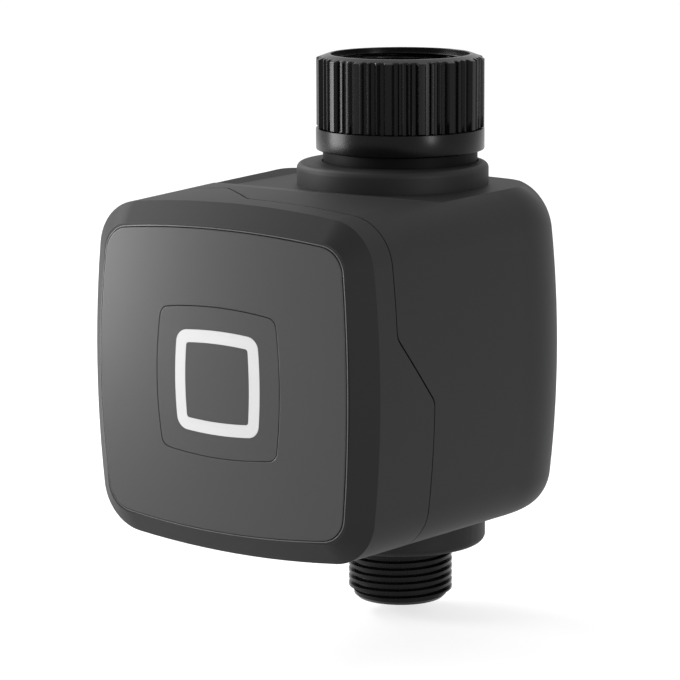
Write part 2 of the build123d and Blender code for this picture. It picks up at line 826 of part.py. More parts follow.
def inlet_oring():
    return Pos(0, 0, (seat_base_z + spigot_step_z) / 2) * Torus(inlet_ring_major, inlet_ring_minor)


def inlet_washer():
    outer = tail_flange_radius
    return upright(outer, tail_top_z, washer_top_z) - upright(washer_inner, tail_top_z - 1, washer_top_z + 1)


def filter_screen():
    rim_height = 1.2
    cone_height = 8.0
    wide, narrow, skin = bore_radius - 0.5, 4.0, 0.6
    basket = Pos(0, 0, tail_top_z - cone_height / 2) * Cone(narrow, wide, cone_height)
    inside = Pos(0, 0, tail_top_z - cone_height / 2 + skin) * Cone(narrow - skin, wide - skin, cone_height)
    screen = upright(washer_inner - 0.1, tail_top_z, tail_top_z + rim_height) + basket - inside
    screen -= upright(wide - skin, tail_top_z - skin, tail_top_z + rim_height + 1)
    slot_count = 12
    for i in range(slot_count):
        slot = Pos(wide / 2 + 1, 0, tail_top_z - cone_height / 2) * Box(wide, 1.0, cone_height - 3)
        screen -= Rot(0, 0, 360 / slot_count * i) * slot
    return screen


def valve_ball():
    ball = Sphere(ball_radius) - Rot(0, 90, 0) * Cylinder(ball_bore, 3 * ball_radius)
    floor_y = tang_root_y + tang_depth + seat_gap
    slot = Pos(0, floor_y - 5, 0) * Box(tang_width + 2 * seat_gap, 10, 4 * ball_radius)
    return ball - slot


def seat(high):
    ring = upright(cavity_radius - seat_gap, seat_base_z - seat_height, seat_base_z)
    ring -= upright(seat_inner, 0, seat_base_z + 1)
    ring -= Sphere(ball_radius + running_gap)
    return ring if high else Rot(180, 0, 0) * ring


def valve_body():
    body = upright(body_radius, pipe_top_z, spigot_top_z)
    body += upright(pipe_radius, pipe_end_z, pipe_top_z)
    shoulder_low = seal_floor_z + seal_ring_height
    body += upright(shoulder_radius, shoulder_low, shoulder_low + shoulder_height)
    body += upright(outlet_crest - outlet_depth, outlet_thread_top_z, pipe_end_z)
    thread_low_z = outlet_thread_top_z - outlet_thread_length
    body += upright(outlet_crest, thread_low_z, outlet_thread_top_z)
    pilot = upright(pilot_radius, outlet_end_z, thread_low_z)
    body += chamfer(pilot.edges().filter_by(GeomType.CIRCLE).sort_by(Axis.Z)[0], pilot_chamfer)
    body += block(2 * pad_half_x, 2 * pad_half_z, stem_at, pad_front_y, pad_front_y + pad_thickness)
    body += disc(pad_half_z - 2, stem_at, pad_front_y, -body_radius / 2)
    body -= upright(spigot_radius + seat_gap, spigot_step_z, spigot_top_z + 1)
    body -= upright(cavity_radius, -seat_base_z, spigot_step_z + 1)
    body -= upright(bore_radius, outlet_end_z - 1, 0)
    body -= upright(outlet_bore, outlet_end_z - 1, pipe_end_z + 8)
    body -= disc(stem_radius + running_gap, stem_at, pad_front_y - 1, 0)
    body -= disc(bush_radius + seat_gap, stem_at, pad_front_y - 1, pad_front_y + bush_length)
    for at in corners(pad_screw_x, pad_screw_z):
        body -= screw_hole(at, pad_front_y - 1, pad_front_y + pad_thickness - 0.5)
    body -= thread_groove(outlet_crest, outlet_depth, outlet_pitch, outlet_crest_flat,
                          thread_low_z - outlet_pitch / 2, outlet_thread_top_z - outlet_pitch / 2, True)
    return body


def outlet_seal():
    high = seal_floor_z + seal_ring_height
    ring = upright(shoulder_radius, seal_floor_z, high)
    return ring - upright(pipe_radius + seat_gap, seal_floor_z - 1, high + 1)


# Stem and gears

def drive_shape(radius, flat):
    """A round with one flat, which turns the gear and the cam."""
    return Circle(radius) & (Pos(0, flat - radius) * Rectangle(4 * radius, 2 * radius))


def valve_stem():
    stem = disc(stem_radius, stem_at, stem_step_y, tang_root_y)
    stem += between(drive_shape(stem_drive_radius, stem_drive_flat), stem_front_y, stem_step_y)
    tang = block(tang_width, tang_length, stem_at, tang_root_y - 0.1, tang_root_y + tang_depth)
    stem += tang & Sphere(cavity_radius - body_gap)
    for y in stem_ring_y:
        half = stem_ring_minor + 0.1
        cut = disc(stem_radius + 1, stem_at, y - half, y + half)
        stem -= cut - disc(stem_ring_major - stem_ring_minor - 0.03, stem_at, y - half, y + half)
    return stem


def stem_orings():
    rings = [Pos(0, y, 0) * Rot(90, 0, 0) * Torus(stem_ring_major, stem_ring_minor) for y in stem_ring_y]
    return Compound(children=rings)


def stem_bush():
    bush = disc(bush_radius, stem_at, pad_front_y, pad_front_y + bush_length - seat_gap)
    return bush - disc(stem_radius + running_gap, stem_at, pad_front_y - 1, pad_front_y + bush_length)


def gear_outline(teeth, module, middle_degrees, gap_there=False):
    """An involute gear. A tooth, or a gap, is centred on middle_degrees."""
    pitch_r = module * teeth / 2
    base_r = pitch_r * math.cos(pressure_angle)
    tip_r = pitch_r + module
    root_r = pitch_r - 1.25 * module
    involute = math.tan(pressure_angle) - pressure_angle
    half_tooth = math.pi / (2 * teeth) - backlash / (2 * pitch_r) + involute
    first = max(base_r, root_r)
    flank = [(first + (tip_r - first) * i / 4) for i in range(5)]
    offsets = []
    for r in flank:
        lean = math.acos(min(1.0, base_r / r))
        offsets.append(half_tooth - (math.tan(lean) - lean))
    if base_r > root_r:
        flank = [root_r] + flank
        offsets = [half_tooth] + offsets
    start = math.radians(middle_degrees) + (math.pi / teeth if gap_there else 0)
    points = []
    for k in range(teeth):
        middle = start + 2 * math.pi * k / teeth
        rising = [(r, middle - o) for r, o in zip(flank, offsets)]
        falling = [(r, middle + o) for r, o in zip(flank, offsets)][::-1]
        points += [(r * math.cos(a), r * math.sin(a)) for r, a in rising + falling]
    return make_face(Polyline(points, close=True))


def output_gear():
    gear = between(gear_outline(output_teeth, drive_module, second_gear_angle), output_front_y, output_back_y)
    hub = disc(stem_drive_radius + 2.5, stem_at, output_front_y - layer_gap, output_front_y)
    bore = drive_shape(stem_drive_radius + seat_gap, stem_drive_flat + seat_gap)
    return gear + hub - between(bore, output_front_y - 2, output_back_y + 1)


def compound_gear(at, wheel_degrees, pinion_module, pinion_degrees, wheel_y, pinion_back_y):
    wheel = between(gear_outline(wheel_teeth, fast_module, wheel_degrees), wheel_y[0], wheel_y[1])
    teeth = gear_outline(pinion_teeth, pinion_module, pinion_degrees, True)
    pinion = between(teeth, wheel_y[1], pinion_back_y)
    gear = Pos(at[0], 0, at[1]) * (wheel + pinion)
    return gear - disc(gear_axle_radius + running_gap, at, wheel_y[0] - 1, pinion_back_y + 1)


def second_gear():
    return compound_gear(second_at, first_gear_angle, drive_module, second_gear_angle + 180,
                         (second_front_y, second_back_y), output_back_y)


def first_gear():
    return compound_gear(first_at, motor_angle, fast_module, first_gear_angle + 180,
                         (first_front_y, first_back_y), second_back_y)


def motor_pinion():
    outline = gear_outline(pinion_teeth, fast_module, motor_angle + 180, True)
    teeth = between(outline, first_front_y, first_back_y)
    hub_radius = fast_module * (pinion_teeth / 2 - 1.25)
    hub = disc(hub_radius, stem_at, first_back_y, first_back_y + 2)
    pinion = Pos(motor_at[0], 0, motor_at[1]) * (teeth + hub)
    return pinion - disc(gear_axle_radius + 0.02, motor_at, first_front_y - 1, first_back_y + 3)


def motor_shaft():
    return disc(gear_axle_radius, motor_at, first_front_y, pad_front_y + motor_length / 2)


def gear_axles():
    axles = [disc(gear_axle_radius, at, gear_cover_inner_y, pad_front_y - 0.1)
             for at in (second_at, first_at)]
    return Compound(children=axles)


def position_cam():
    back_y = stem_front_y + 0.2 + cam_thickness
    cam = between(Circle(cam_radius), stem_front_y + 0.2, back_y)
    notch_at = polar(stem_at, cam_radius, cam_notch_angle)
    cam -= block(cam_notch, cam_notch, notch_at, stem_front_y - 1, back_y + 1)
    bore = drive_shape(stem_drive_radius + seat_gap, stem_drive_flat + seat_gap)
    return cam - between(bore, stem_front_y - 1, back_y + 1)


# Gearbox, motor and switches

def gearbox_outline(extra):
    """The tight outline round all the gears, and round the screw ears where extra is the wall."""
    rounds = [(stem_at, drive_module * (output_teeth / 2 + 1)),
              (second_at, fast_module * (wheel_teeth / 2 + 1)),
              (first_at, fast_module * (wheel_teeth / 2 + 1)),
              (motor_at, fast_module * (pinion_teeth / 2 + 1))]
    circles = [Pos(at[0], at[1]) * Circle(radius + gear_room + extra) for at, radius in rounds]
    if extra > 0:
        circles += [Pos(x, z) * Circle(ear_radius) for x, z in ears_at]
    edges = []
    for circle in circles:
        edges += circle.edges()
    return make_hull(edges)


def gearbox_base():
    base = between(gearbox_outline(gearbox_wall), base_front_y, pad_front_y)
    base += disc(gear_boss_radius, first_at, second_back_y + body_gap, base_front_y)
    base += disc(gear_boss_radius, second_at, output_back_y + body_gap, base_front_y)
    for at in ears_at:
        base += disc(column_radius, at, pad_front_y, pad_front_y + 2.8)
        base -= screw_hole(at, base_front_y - 1, pad_front_y + 2.3)
    for at in (first_at, second_at):
        base -= disc(gear_axle_radius, at, base_front_y - 5, pad_front_y - 0.1)
    base -= disc(stem_radius + body_gap, stem_at, base_front_y - 1, pad_front_y + 1)
    base -= disc(motor_boss_radius + seat_gap, motor_at, base_front_y - 1, pad_front_y + 1)
    for at in motor_screw_spots():
        base -= screw_hole(at, base_front_y - 1, pad_front_y + 1)
    for at in corners(pad_screw_x, pad_screw_z):
        base -= flat_screw(at, 0.1)
    return base


def motor_screw_spots():
    dx, dz = motor_screw_offset
    return [(motor_at[0] - dx, motor_at[1] + dz), (motor_at[0] - dx, motor_at[1] - dz)]


def flat_screw(at, grow=0.0):
    """A countersunk screw that holds the gearbox base on the valve body."""
    head = Rot(90, 0, 0) * Cone(screw_shank + grow, screw_head + grow, base_thickness)
    head = Pos(at[0], base_front_y + base_thickness / 2, at[1]) * head
    return head + disc(screw_shank - 0.02 + grow, at, base_front_y, pad_front_y + pad_thickness - 1)


def gearbox_cover():
    cover = between(gearbox_outline(gearbox_wall), gear_cover_front_y, base_front_y)
    cover -= between(gearbox_outline(0), gear_cover_inner_y, base_front_y + 1)
    for at in ears_at:
        cover += disc(column_radius, at, gear_cover_inner_y, base_front_y)
    cover += disc(gear_boss_radius, first_at, gear_cover_inner_y, first_front_y - body_gap)
    cover += disc(gear_boss_radius, second_at, gear_cover_inner_y, second_front_y - body_gap)
    for at in (first_at, second_at):
        cover -= disc(gear_axle_radius, at, gear_cover_inner_y, base_front_y)
    for at in ears_at:
        cover -= disc(screw_shank + 0.1, at, gear_cover_front_y - 1, base_front_y + 1)
    return cover


def motor_section(radius, half_width):
    return Circle(radius) & Rectangle(2 * half_width, 3 * radius)


def motor_can():
    at = Pos(motor_at[0], motor_at[1])
    section = at * motor_section(motor_radius, motor_half_width)
    can = between(section, pad_front_y, pad_front_y + motor_length)
    can += disc(motor_boss_radius, motor_at, pad_front_y - motor_boss_length, pad_front_y)
    for spot in motor_screw_spots():
        can -= screw_hole(spot, pad_front_y - 1, pad_front_y + 4)
    shaft_room_y = pad_front_y + motor_length / 2 + 0.5
    return can - disc(gear_axle_radius + running_gap, motor_at, pad_front_y - 2, shaft_room_y)


def motor_end_cap():
    at = Pos(motor_at[0], motor_at[1])
    back_y = pad_front_y + motor_length
    cap_back_y = back_y + motor_cap_length
    section = at * motor_section(motor_radius - 0.4, motor_half_width - 0.4)
    boss = disc(motor_boss_radius, motor_at, cap_back_y, cap_back_y + motor_boss_length)
    return between(section, back_y, cap_back_y) + boss


def motor_terminals():
    back_y = pad_front_y + motor_length + motor_cap_length
    tabs = [block(2.2, 0.5, (motor_at[0], motor_at[1] + side * 7.0), back_y, back_y + 3) for side in (-1, 1)]
    return Compound(children=tabs)


def position_board():
    front_y, back_y = gear_cover_inner_y, gear_cover_inner_y + 0.8
    board = block(11, 12.6, (-9.5, 1.3), front_y, back_y) + block(13, 12.8, (-1.5, 8.4), front_y, back_y)
    return board - disc(stem_drive_radius + 1, stem_at, front_y - 1, back_y + 1)


def limit_switches():
    front_y, back_y = gear_cover_inner_y + 0.8, gear_cover_inner_y + 4.8
    reach = cam_radius + guide_end_gap
    side = block(6, 9, (-12.2, 0), front_y, back_y)
    side += block(12.2 - reach, 2, (-(12.2 + reach) / 2, 0), front_y, back_y)
    top = block(9, 6, (0, 12.2), front_y, back_y)
    top += block(2, 12.2 - reach, (0, (12.2 + reach) / 2), front_y, back_y)
    return Compound(children=[side, top])


def group(solids):
    return Compound(children=list(solids))


save("rear_housing", rear_housing())
save("front_shell", front_shell())
save("face_panel", face_panel())
save("button_cap", button_cap())
save("light_ring", light_ring())
save("button_seal", button_seal())
save("button_frame", button_frame())
save("button_frame_screws", group(screw(at, frame_back_y, 4.5, back=True)
                                  for at in corners(frame_screw_x, frame_screw_x)))
save("light_guide", light_guide())
save("main_board", main_board())
save("board_screws", group(screw(at, board_back_y, 6.0, back=True)
                           for at in corners(board_screw_x, board_screw_z)))
save("tact_switch", tact_switch())
save("tact_plunger", tact_plunger())
save("status_leds", status_leds())
save("radio_module", radio_module())
save("processor_chip", processor_chip())
save("board_connector", board_connector())
save("battery_tray", battery_tray())
save("tray_screws", group(screw(at, tray_floor_y, 6.5, back=True) for at in corners(tray_ear, tray_ear)))
save("battery_cells", battery_cells())
save("battery_contacts", battery_contacts())
save("spring_pins", spring_pins())
save("contact_pads", contact_pads())
save("module_gasket", module_gasket())
save("inner_cover", inner_cover())
cover_screws_at = corners(cover_screw_x, cover_screw_z)
save("inner_cover_screws", group(screw(at, cover_front_y, cover_screw_length) for at in cover_screws_at))
save("swivel_nut", swivel_nut())
save("inlet_tailpiece", inlet_tailpiece())
save("inlet_oring", inlet_oring())
save("inlet_washer", inlet_washer())
save("filter_screen", filter_screen())
save("valve_ball", valve_ball())
save("inlet_seat", seat(True))
save("outlet_seat", seat(False))
save("valve_body", valve_body())
save("outlet_seal", outlet_seal())
save("valve_stem", valve_stem())
save("stem_orings", stem_orings())
save("stem_bush", stem_bush())
save("output_gear", output_gear())
save("second_gear", second_gear())
save("first_gear", first_gear())
save("motor_pinion", motor_pinion())
save("motor_shaft", motor_shaft())
save("gear_axles", gear_axles())
save("position_cam", position_cam())
save("gearbox_base", gearbox_base())
save("gearbox_cover", gearbox_cover())
save("gearbox_screws", group(screw(at, gear_cover_front_y, base_front_y - gear_cover_front_y + 3.5)
                             for at in ears_at))
save("gearbox_mount_screws", group(flat_screw(at) for at in corners(pad_screw_x, pad_screw_z)))
save("motor_can", motor_can())
save("motor_end_cap", motor_end_cap())
save("motor_terminals", motor_terminals())
save("motor_screws", group(screw(at, base_front_y, 4.5, head=1.8) for at in motor_screw_spots()))
save("position_board", position_board())
save("limit_switches", limit_switches())
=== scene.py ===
import json
import math
import bpy
import numpy as np
from mathutils import Euler, Matrix, Vector


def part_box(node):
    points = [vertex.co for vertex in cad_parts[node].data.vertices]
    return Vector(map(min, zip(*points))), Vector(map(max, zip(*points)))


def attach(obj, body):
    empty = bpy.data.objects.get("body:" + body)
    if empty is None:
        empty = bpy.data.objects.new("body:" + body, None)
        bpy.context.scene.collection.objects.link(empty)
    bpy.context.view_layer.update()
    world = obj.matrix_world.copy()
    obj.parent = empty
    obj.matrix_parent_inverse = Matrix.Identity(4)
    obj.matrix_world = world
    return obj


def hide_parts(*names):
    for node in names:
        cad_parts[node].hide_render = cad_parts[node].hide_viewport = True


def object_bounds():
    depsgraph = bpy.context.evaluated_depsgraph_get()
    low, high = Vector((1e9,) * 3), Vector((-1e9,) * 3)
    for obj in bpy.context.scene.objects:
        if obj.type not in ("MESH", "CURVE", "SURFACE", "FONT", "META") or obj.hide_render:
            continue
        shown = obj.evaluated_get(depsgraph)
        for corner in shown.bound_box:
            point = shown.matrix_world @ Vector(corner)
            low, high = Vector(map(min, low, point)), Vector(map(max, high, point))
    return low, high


# The looks of a tap water timer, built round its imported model. Metres; -Y is the front, +Z is up.

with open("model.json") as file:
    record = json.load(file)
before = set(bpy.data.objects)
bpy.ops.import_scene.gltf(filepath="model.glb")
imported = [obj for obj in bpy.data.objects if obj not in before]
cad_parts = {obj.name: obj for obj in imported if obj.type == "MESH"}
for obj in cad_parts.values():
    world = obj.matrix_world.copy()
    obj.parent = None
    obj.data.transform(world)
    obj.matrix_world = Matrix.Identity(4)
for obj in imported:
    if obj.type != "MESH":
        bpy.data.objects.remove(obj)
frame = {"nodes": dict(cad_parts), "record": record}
nodes = frame["nodes"]
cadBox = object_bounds()
print("model loaded:", len(nodes), "nodes")


# Camera, where the photograph was taken from
view = {
    "spot": (0.441269, -0.651226, 0.071287),
    "azimuth": 35.249,      # degrees to the right of straight ahead
    "tilt": 10.287,         # degrees downwards
    "roll": -0.004,         # radians
    "lens": 166.995,
    "sensor": 36.0,
    "shiftX": 0.001166,
    "shiftY": 0.000358,
    "farEnd": 20.0,
}

cameraData = bpy.data.cameras.new("camera")
cameraData.lens = view["lens"]
cameraData.sensor_width = view["sensor"]
cameraData.shift_x = view["shiftX"]
cameraData.shift_y = view["shiftY"]
cameraData.clip_end = view["farEnd"]
camera = bpy.data.objects.new("camera", cameraData)
aim = Euler((math.radians(90.0 - view["tilt"]), 0.0, math.radians(view["azimuth"])), "XYZ").to_matrix()
turned = aim @ Matrix.Rotation(view["roll"], 3, "Z")
camera.matrix_world = Matrix.Translation(Vector(view["spot"])) @ turned.to_4x4()
bpy.context.scene.collection.objects.link(camera)
bpy.context.scene.camera = camera
bpy.context.scene.view_settings.view_transform = "Standard"
print("camera set")


# Shader helpers
def freshMaterial(name):
    material = bpy.data.materials.new(name)
    material.use_nodes = True
    tree = material.node_tree
    tree.nodes.clear()
    out = tree.nodes.new("ShaderNodeOutputMaterial")
    shader = tree.nodes.new("ShaderNodeBsdfPrincipled")
    tree.links.new(shader.outputs["BSDF"], out.inputs["Surface"])
    return material, tree, shader


# Moulded grain: what a finish has unless it says otherwise, and the two noises behind it
grainUsual = {"Scale": 2500.0, "Tone Change": 0.1, "Roughness": 0.5, "Gloss Change": 0.06}
grainNoise = {"fineDetail": 3.0, "broadScale": 55.0, "broadDetail": 2.0}


def grainGroup():
    # two sizes of noise give a height, a slight change of tone and a slight change of gloss
    group = bpy.data.node_groups.new("mouldedGrain", "ShaderNodeTree")
    face = group.interface
    for label, value in grainUsual.items():
        socket = face.new_socket(name=label, in_out="INPUT", socket_type="NodeSocketFloat")
        socket.default_value = value
    colour = face.new_socket(name="Color", in_out="INPUT", socket_type="NodeSocketColor")
    colour.default_value = (0.05, 0.05, 0.05, 1.0)
    face.new_socket(name="Color", in_out="OUTPUT", socket_type="NodeSocketColor")
    face.new_socket(name="Roughness", in_out="OUTPUT", socket_type="NodeSocketFloat")
    face.new_socket(name="Height", in_out="OUTPUT", socket_type="NodeSocketFloat")
    new, link = group.nodes.new, group.links.new
    into, out = new("NodeGroupInput"), new("NodeGroupOutput")
    place = new("ShaderNodeTexCoord")
    fine, broad = new("ShaderNodeTexNoise"), new("ShaderNodeTexNoise")
    fine.inputs["Detail"].default_value = grainNoise["fineDetail"]
    broad.inputs["Scale"].default_value = grainNoise["broadScale"]
    broad.inputs["Detail"].default_value = grainNoise["broadDetail"]
    link(place.outputs["Object"], fine.inputs["Vector"])
    link(place.outputs["Object"], broad.inputs["Vector"])
    link(into.outputs["Scale"], fine.inputs["Scale"])

    def spread(source, amount, centre):
        # (source - 0.5) * amount + centre
        lower, wide = new("ShaderNodeMath"), new("ShaderNodeMath")
        lower.operation, wide.operation = "SUBTRACT", "MULTIPLY_ADD"
        link(source, lower.inputs[0])
        lower.inputs[1].default_value = 0.5
        link(lower.outputs[0], wide.inputs[0])
        link(amount, wide.inputs[1])
        if isinstance(centre, float):
            wide.inputs[2].default_value = centre
        else:
            link(centre, wide.inputs[2])
        return wide.outputs[0]

    tone = spread(broad.outputs["Fac"], into.outputs["Tone Change"], 1.0)
    tint = new("ShaderNodeVectorMath")
    tint.operation = "SCALE"
    link(into.outputs["Color"], tint.inputs[0])
    link(tone, tint.inputs["Scale"])
    link(tint.outputs[0], out.inputs["Color"])
    link(spread(fine.outputs["Fac"], into.outputs["Gloss Change"], into.outputs["Roughness"]),
         out.inputs["Roughness"])
    link(fine.outputs["Fac"], out.inputs["Height"])
    return group


grain = grainGroup()


def grainSkin(tree, look):
    skin = tree.nodes.new("ShaderNodeGroup")
    skin.node_tree = grain
    skin.inputs["Color"].default_value = (*look["colour"], 1.0)
    skin.inputs["Roughness"].default_value = look["roughness"]
    return skin


# What a finish has unless it says otherwise; depth is the height of its grain in metres
usualFinish = {
    "specular": 0.5,
    "metallic": 0.0,
    "grainScale": grainUsual["Scale"],
    "toneChange": grainUsual["Tone Change"],
    "bump": 0.1,
    "depth": 0.00003,
}


def plastic(name, special):
    look = {**usualFinish, **special}
    material, tree, shader = freshMaterial(name)
    new, link = tree.nodes.new, tree.links.new
    skin, bump = grainSkin(tree, look), new("ShaderNodeBump")
    skin.inputs["Scale"].default_value = look["grainScale"]
    skin.inputs["Tone Change"].default_value = look["toneChange"]
    bump.inputs["Strength"].default_value = look["bump"]
    bump.inputs["Distance"].default_value = look["depth"]
    link(skin.outputs["Color"], shader.inputs["Base Color"])
    link(skin.outputs["Roughness"], shader.inputs["Roughness"])
    link(skin.outputs["Height"], bump.inputs["Height"])
    link(bump.outputs["Normal"], shader.inputs["Normal"])
    shader.inputs["Metallic"].default_value = look["metallic"]
    shader.inputs["Specular IOR Level"].default_value = look["specular"]
    if "coat" in look:
        shader.inputs["Coat Weight"].default_value = look["coat"]
        shader.inputs["Coat Roughness"].default_value = look["coatRoughness"]
    return material


finishes = {
    "casingCharcoal": {"colour": (0.0105, 0.0105, 0.011), "roughness": 0.55, "specular": 0.17,
                       "grainScale": 3200.0, "bump": 0.22, "depth": 0.00004},
    "panelSatin": {"colour": (0.031, 0.031, 0.032), "roughness": 0.36, "specular": 0.35,
                   "grainScale": 4200.0, "bump": 0.05},
    "fittingBlack": {"colour": (0.003, 0.003, 0.003), "roughness": 0.27, "specular": 0.13,
                     "grainScale": 2600.0, "bump": 0.12},
    # glossy edge bead: its colour, paler than the casing, is a painted highlight
    "edgeGlossPaintedHighlight": {"colour": (0.09, 0.09, 0.092), "roughness": 0.28, "toneChange": 0.03, "bump": 0.02},
    "neckBlack": {"colour": (0.002, 0.002, 0.002), "roughness": 0.55, "specular": 0.06},
    "ringWhite": {"colour": (0.58, 0.58, 0.58), "roughness": 0.35, "toneChange": 0.02, "bump": 0.03},
    "sealRubber": {"colour": (0.018, 0.018, 0.018), "roughness": 0.7, "bump": 0.3},
    "innerGrey": {"colour": (0.07, 0.07, 0.075), "roughness": 0.55, "bump": 0.2},
    "acetalWhite": {"colour": (0.72, 0.71, 0.68), "roughness": 0.42, "toneChange": 0.05, "bump": 0.08},
    "clearGuide": {"colour": (0.80, 0.82, 0.84), "roughness": 0.18, "toneChange": 0.03, "bump": 0.03},
    "seatWhite": {"colour": (0.82, 0.82, 0.80), "roughness": 0.3, "toneChange": 0.03, "bump": 0.04},
    "chipBlack": {"colour": (0.014, 0.014, 0.015), "roughness": 0.5, "bump": 0.25},
    "boardGreen": {"colour": (0.012, 0.10, 0.045), "roughness": 0.3, "toneChange": 0.35, "bump": 0.06},
    "cellSleeve": {"colour": (0.16, 0.17, 0.20), "roughness": 0.28, "toneChange": 0.08, "coat": 0.4,
                   "coatRoughness": 0.1},
    "brightSteel": {"colour": (0.62, 0.62, 0.63), "roughness": 0.28, "metallic": 1.0, "toneChange": 0.08},
    "tinnedShield": {"colour": (0.70, 0.70, 0.71), "roughness": 0.34, "metallic": 1.0},
    "platedBrass": {"colour": (0.66, 0.48, 0.22), "roughness": 0.25, "metallic": 1.0, "toneChange": 0.12},
}
materials = {name: plastic(name, look) for name, look in finishes.items()}

# Each material slot of the record gets a finish, and a node may have its own
bySlot = {
    "casing": "casingCharcoal",
    "panel": "panelSatin",
    "black": "fittingBlack",
    "ring_white": "ringWhite",
    "rubber": "sealRubber",
    "inner_plastic": "innerGrey",
    "pale_plastic": "acetalWhite",
    "clear_plastic": "clearGuide",
    "brass": "platedBrass",
    "steel": "brightSteel",
    "board": "boardGreen",
    "chip": "chipBlack",
    "shield": "tinnedShield",
    "cell": "cellSleeve",
    "seat": "seatWhite",
}
byNode = {"inlet_tailpiece": "neckBlack"}

for part in frame["record"]["subparts"]:
    skin = materials[byNode.get(part["node"], bySlot[part["material_slot"]])]
    cadObject = nodes[part["node"]]
    if not cadObject.material_slots:
        cadObject.data.materials.append(skin)
    for place in cadObject.material_slots:
        place.material = skin
print("materials made:", len(materials))


# Ribbed nut. In each sector stand one proud rib and two low ones; sizes in millimetres from the model's
# origin, and the ribs' places in degrees
nut = {
    "sectors": 16,
    "stepsPerSector": 27,
    "root": 19.9,
    "ribs": ((0.0, 7.6, 1.5, 1.22),         # from, to, flank, height
             (9.9, 13.6, 1.2, 0.72),
             (16.0, 19.7, 1.2, 0.72)),
    "bandTop": -17.2,
    "bottom": -22.6,
    "band": 21.12,
    "lowEdge": ((0.0, -0.35), (0.1, -0.1), (0.35, 0.0)),        # rows of the band's edges: upwards, outwards
    "highEdge": ((-0.3, 0.0), (-0.08, -0.06), (0.0, -0.25)),
    "ribStart": 0.02,           # the ribs start this far over the band
    "ribRise": 0.3,             # and are full height here
    "evenRows": (3.2, 6),       # below the mouth, how many rows
    "coneRows": (2.9, 0.12, 16),
    "rim": 18.1,
    "rimSlope": 2.76,
    "mouth": 17.4,
    "mouthTop": 1.2,
    "mouthRound": 0.1,
    "crest": 15.15,
    "crestRound": 0.2,
    "depth": 1.45,
    "pitch": 2.309,
    "grooveHalf": 0.36,         # of one pitch
    "threadHigh": -0.1,
    "threadLow": -10.3,
    "threadRows": 80,
    "fadeHigh": 0.6,            # the groove fades away over these lengths at its ends
    "fadeLow": 1.2,
    "shoulder": 0.05,
    "flangeRoom": 15.5,
    "lipTop": -15.8,
    "bore": 12.5,
    "sharpAngle": 40.0,
}


def easeStep(x):
    return x * x * (3.0 - 2.0 * x)


def ribHeight(angle):
    # sum of bumps that rise and fall along smooth steps over each rib's flanks, repeated in every sector
    along = np.mod(np.degrees(angle), 360.0 / nut["sectors"])
    height = np.zeros_like(angle)
    for start, end, flank, tall in nut["ribs"]:
        rise = np.clip((along - start) / flank, 0.0, 1.0)
        fall = np.clip((end - along) / flank, 0.0, 1.0)
        height += tall * easeStep(rise) * easeStep(fall)
    return height


def smoothPiece(name, points, faces, sharpAngle):
    # points in millimetres; edges sharper than the angle stay sharp
    mesh = bpy.data.meshes.new(name)
    mesh.from_pydata((points / 1000.0).tolist(), [], faces)
    mesh.polygons.foreach_set("use_smooth", np.ones(len(faces), dtype=bool))
    mesh.set_sharp_from_angle(angle=math.radians(sharpAngle))
    piece = bpy.data.objects.new(name, mesh)
    bpy.context.scene.collection.objects.link(piece)
    return piece


def closedGrid(name, points, sharpAngle):
    # points has the shape (rows, columns, 3); both ways the last one joins the first
    rows, columns = points.shape[:2]
    index = np.arange(rows * columns).reshape(rows, columns)
    right, up = np.roll(index, -1, axis=1), np.roll(index, -1, axis=0)
    faces = np.stack([index, right, np.roll(up, -1, axis=1), up], axis=-1).reshape(-1, 4)
    return smoothPiece(name, points.reshape(-1, 3), faces.tolist(), sharpAngle)


def ribbedNut():
    # a profile of heights and radii is turned about the axis; the ribs push the outer part outwards,
    # and a wave that climbs one pitch each turn pushes the thread's part outwards from its crest
    turns = np.linspace(0.0, 2.0 * math.pi, nut["sectors"] * nut["stepsPerSector"], endpoint=False)
    ribbed = ribHeight(turns)
    top, low, edge = nut["mouthTop"], nut["bottom"], nut["bandTop"]
    heights, radii = [], []

    def row(height, radius):
        heights.append(np.full_like(turns, height))
        radii.append(radius * np.ones_like(turns))

    row(low, nut["bore"])
    for up, out in nut["lowEdge"]:
        row(low + up, nut["band"] + out)
    for up, out in nut["highEdge"]:
        row(edge + up, nut["band"] + out)
    evenEnd, evenCount = nut["evenRows"]
    coneStart, coneEnd, coneCount = nut["coneRows"]
    for height in np.concatenate([[edge + nut["ribStart"]],
                                  np.linspace(edge + nut["ribRise"], top - evenEnd, evenCount),
                                  np.linspace(top - coneStart, top - coneEnd, coneCount)]):
        cone = nut["rim"] + (top - height) * nut["rimSlope"]
        grown = min(1.0, (height - edge) / nut["ribRise"])
        row(height, np.minimum(nut["root"] + ribbed * grown, cone))
    row(top, nut["rim"])
    row(top, nut["mouth"] + nut["mouthRound"])
    row(top - nut["mouthRound"], nut["mouth"])
    row(0.0, nut["mouth"])
    row(0.0, nut["crest"] + nut["crestRound"])
    for height in np.linspace(nut["threadHigh"], nut["threadLow"], nut["threadRows"]):
        place = np.mod(height / nut["pitch"] - turns / (2.0 * math.pi), 1.0)
        groove = easeStep(np.clip(1.0 - np.abs(place - 0.5) / nut["grooveHalf"], 0.0, 1.0))
        fade = min(1.0, -height / nut["fadeHigh"], (height - nut["threadLow"]) / nut["fadeLow"])
        row(height, nut["crest"] + nut["depth"] * groove * max(0.0, fade))
    row(nut["threadLow"] - nut["shoulder"], nut["flangeRoom"])
    row(nut["lipTop"], nut["flangeRoom"])
    row(nut["lipTop"], nut["bore"])
    heights, radii = np.array(heights), np.array(radii)
    points = np.stack([radii * np.cos(turns), radii * np.sin(turns), heights], axis=-1)
    piece = closedGrid("ribbedNut", points, nut["sharpAngle"])
    piece.data.materials.append(materials["fittingBlack"])
    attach(piece, "nut")
    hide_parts("swivel_nut")


ribbedNut()
print("nut made")
